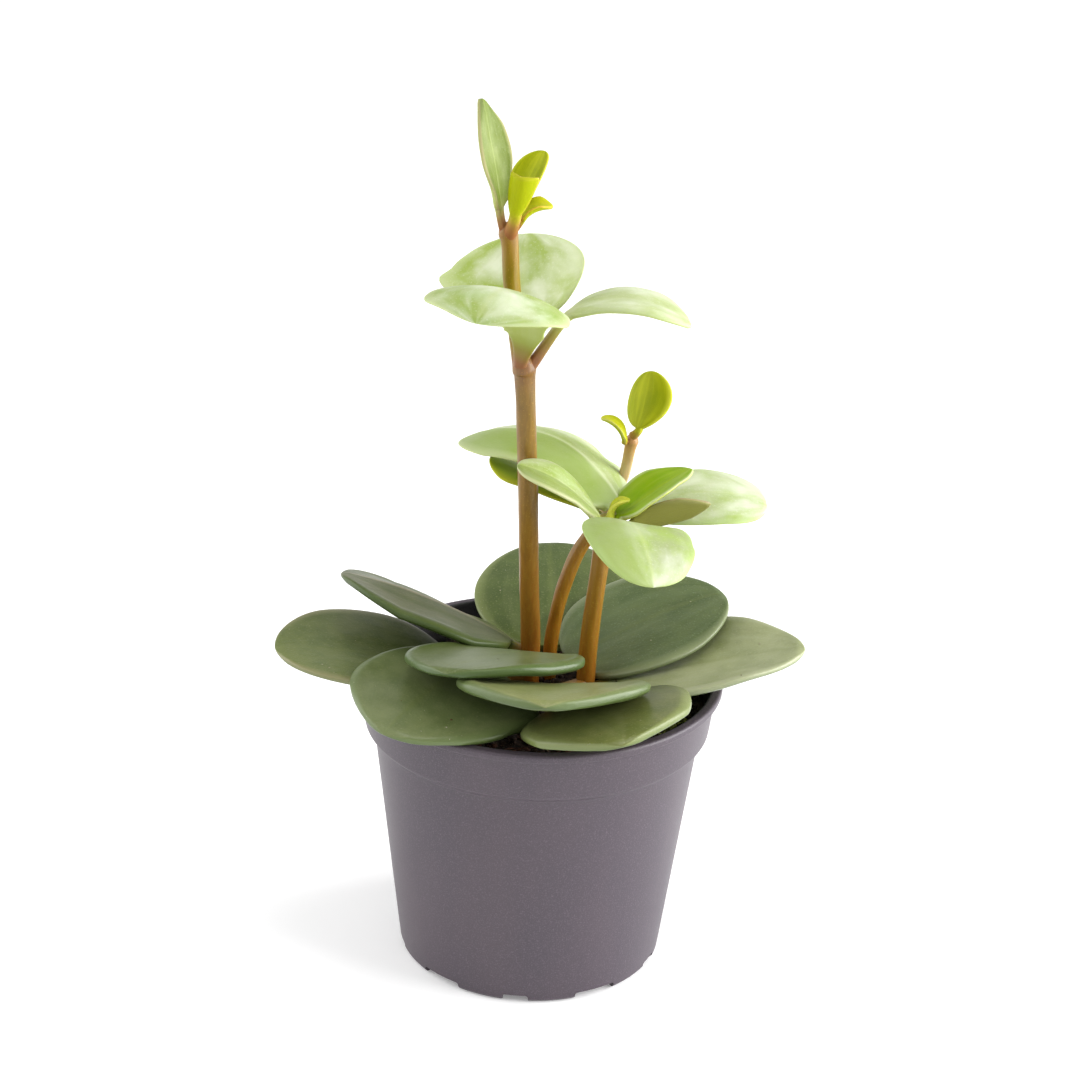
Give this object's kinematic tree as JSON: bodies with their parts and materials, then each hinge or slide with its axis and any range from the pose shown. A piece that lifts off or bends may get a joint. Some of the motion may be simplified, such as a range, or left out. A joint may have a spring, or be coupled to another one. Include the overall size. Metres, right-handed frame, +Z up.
{
  "type": "potted plant",
  "caption": "Potted peperomia with thick rounded leaves at the base and pale whorls of young leaves on upright stems, in a small tapered nursery pot.",
  "frame": {"origin": "on the pot's axis, on the plane that the pot's foot ring and centre pad stand on", "axes": "+Z up along the pot's axis and the plant's height; -Y towards the viewer of the picture, +X to the right in it"},
  "size_m": [0.0855, 0.077, 0.1445],
  "materials": {
    "pot": "matt grey-brown moulded plastic, darker inside",
    "soil": "dark crumbly potting soil, matt",
    "stem": "ochre brown fleshy stem with redder nodes, satin",
    "mature_leaf": "thick olive green leaf, satin with a soft sheen",
    "young_leaf": "pale lime green young leaf with near-white veins, satin",
    "young_tip": "bright yellow-green newest leaf, satin"
  },
  "bodies": {
    "root": {"pot": "pot", "soil": "soil", "stem_tall": "stem", "stem_curved": "stem", "stem_front": "stem", "leaf_left": "mature_leaf", "leaf_front_left": "mature_leaf", "leaf_back_left": "mature_leaf", "leaf_mid_left": "mature_leaf", "leaf_front": "mature_leaf", "leaf_front_right": "mature_leaf", "leaf_back": "mature_leaf", "leaf_back_right": "mature_leaf", "leaf_right": "mature_leaf", "tall_whorl_front": "young_leaf", "tall_whorl_back": "young_leaf", "tall_whorl_right": "young_leaf", "tall_tip_blade": "young_leaf", "tall_tip_roll": "young_tip", "tall_tip_back": "young_tip", "tall_tip_small": "young_tip", "front_whorl_arch": "young_leaf", "front_whorl_dark": "young_leaf", "front_whorl_narrow": "young_leaf", "front_whorl_droop": "young_leaf", "front_whorl_right": "young_leaf", "front_whorl_bright": "young_tip", "front_whorl_olive": "young_leaf", "front_whorl_bud": "young_tip", "curved_tip_round": "young_tip", "curved_tip_sickle": "young_tip"}
  },
  "joints": []
}
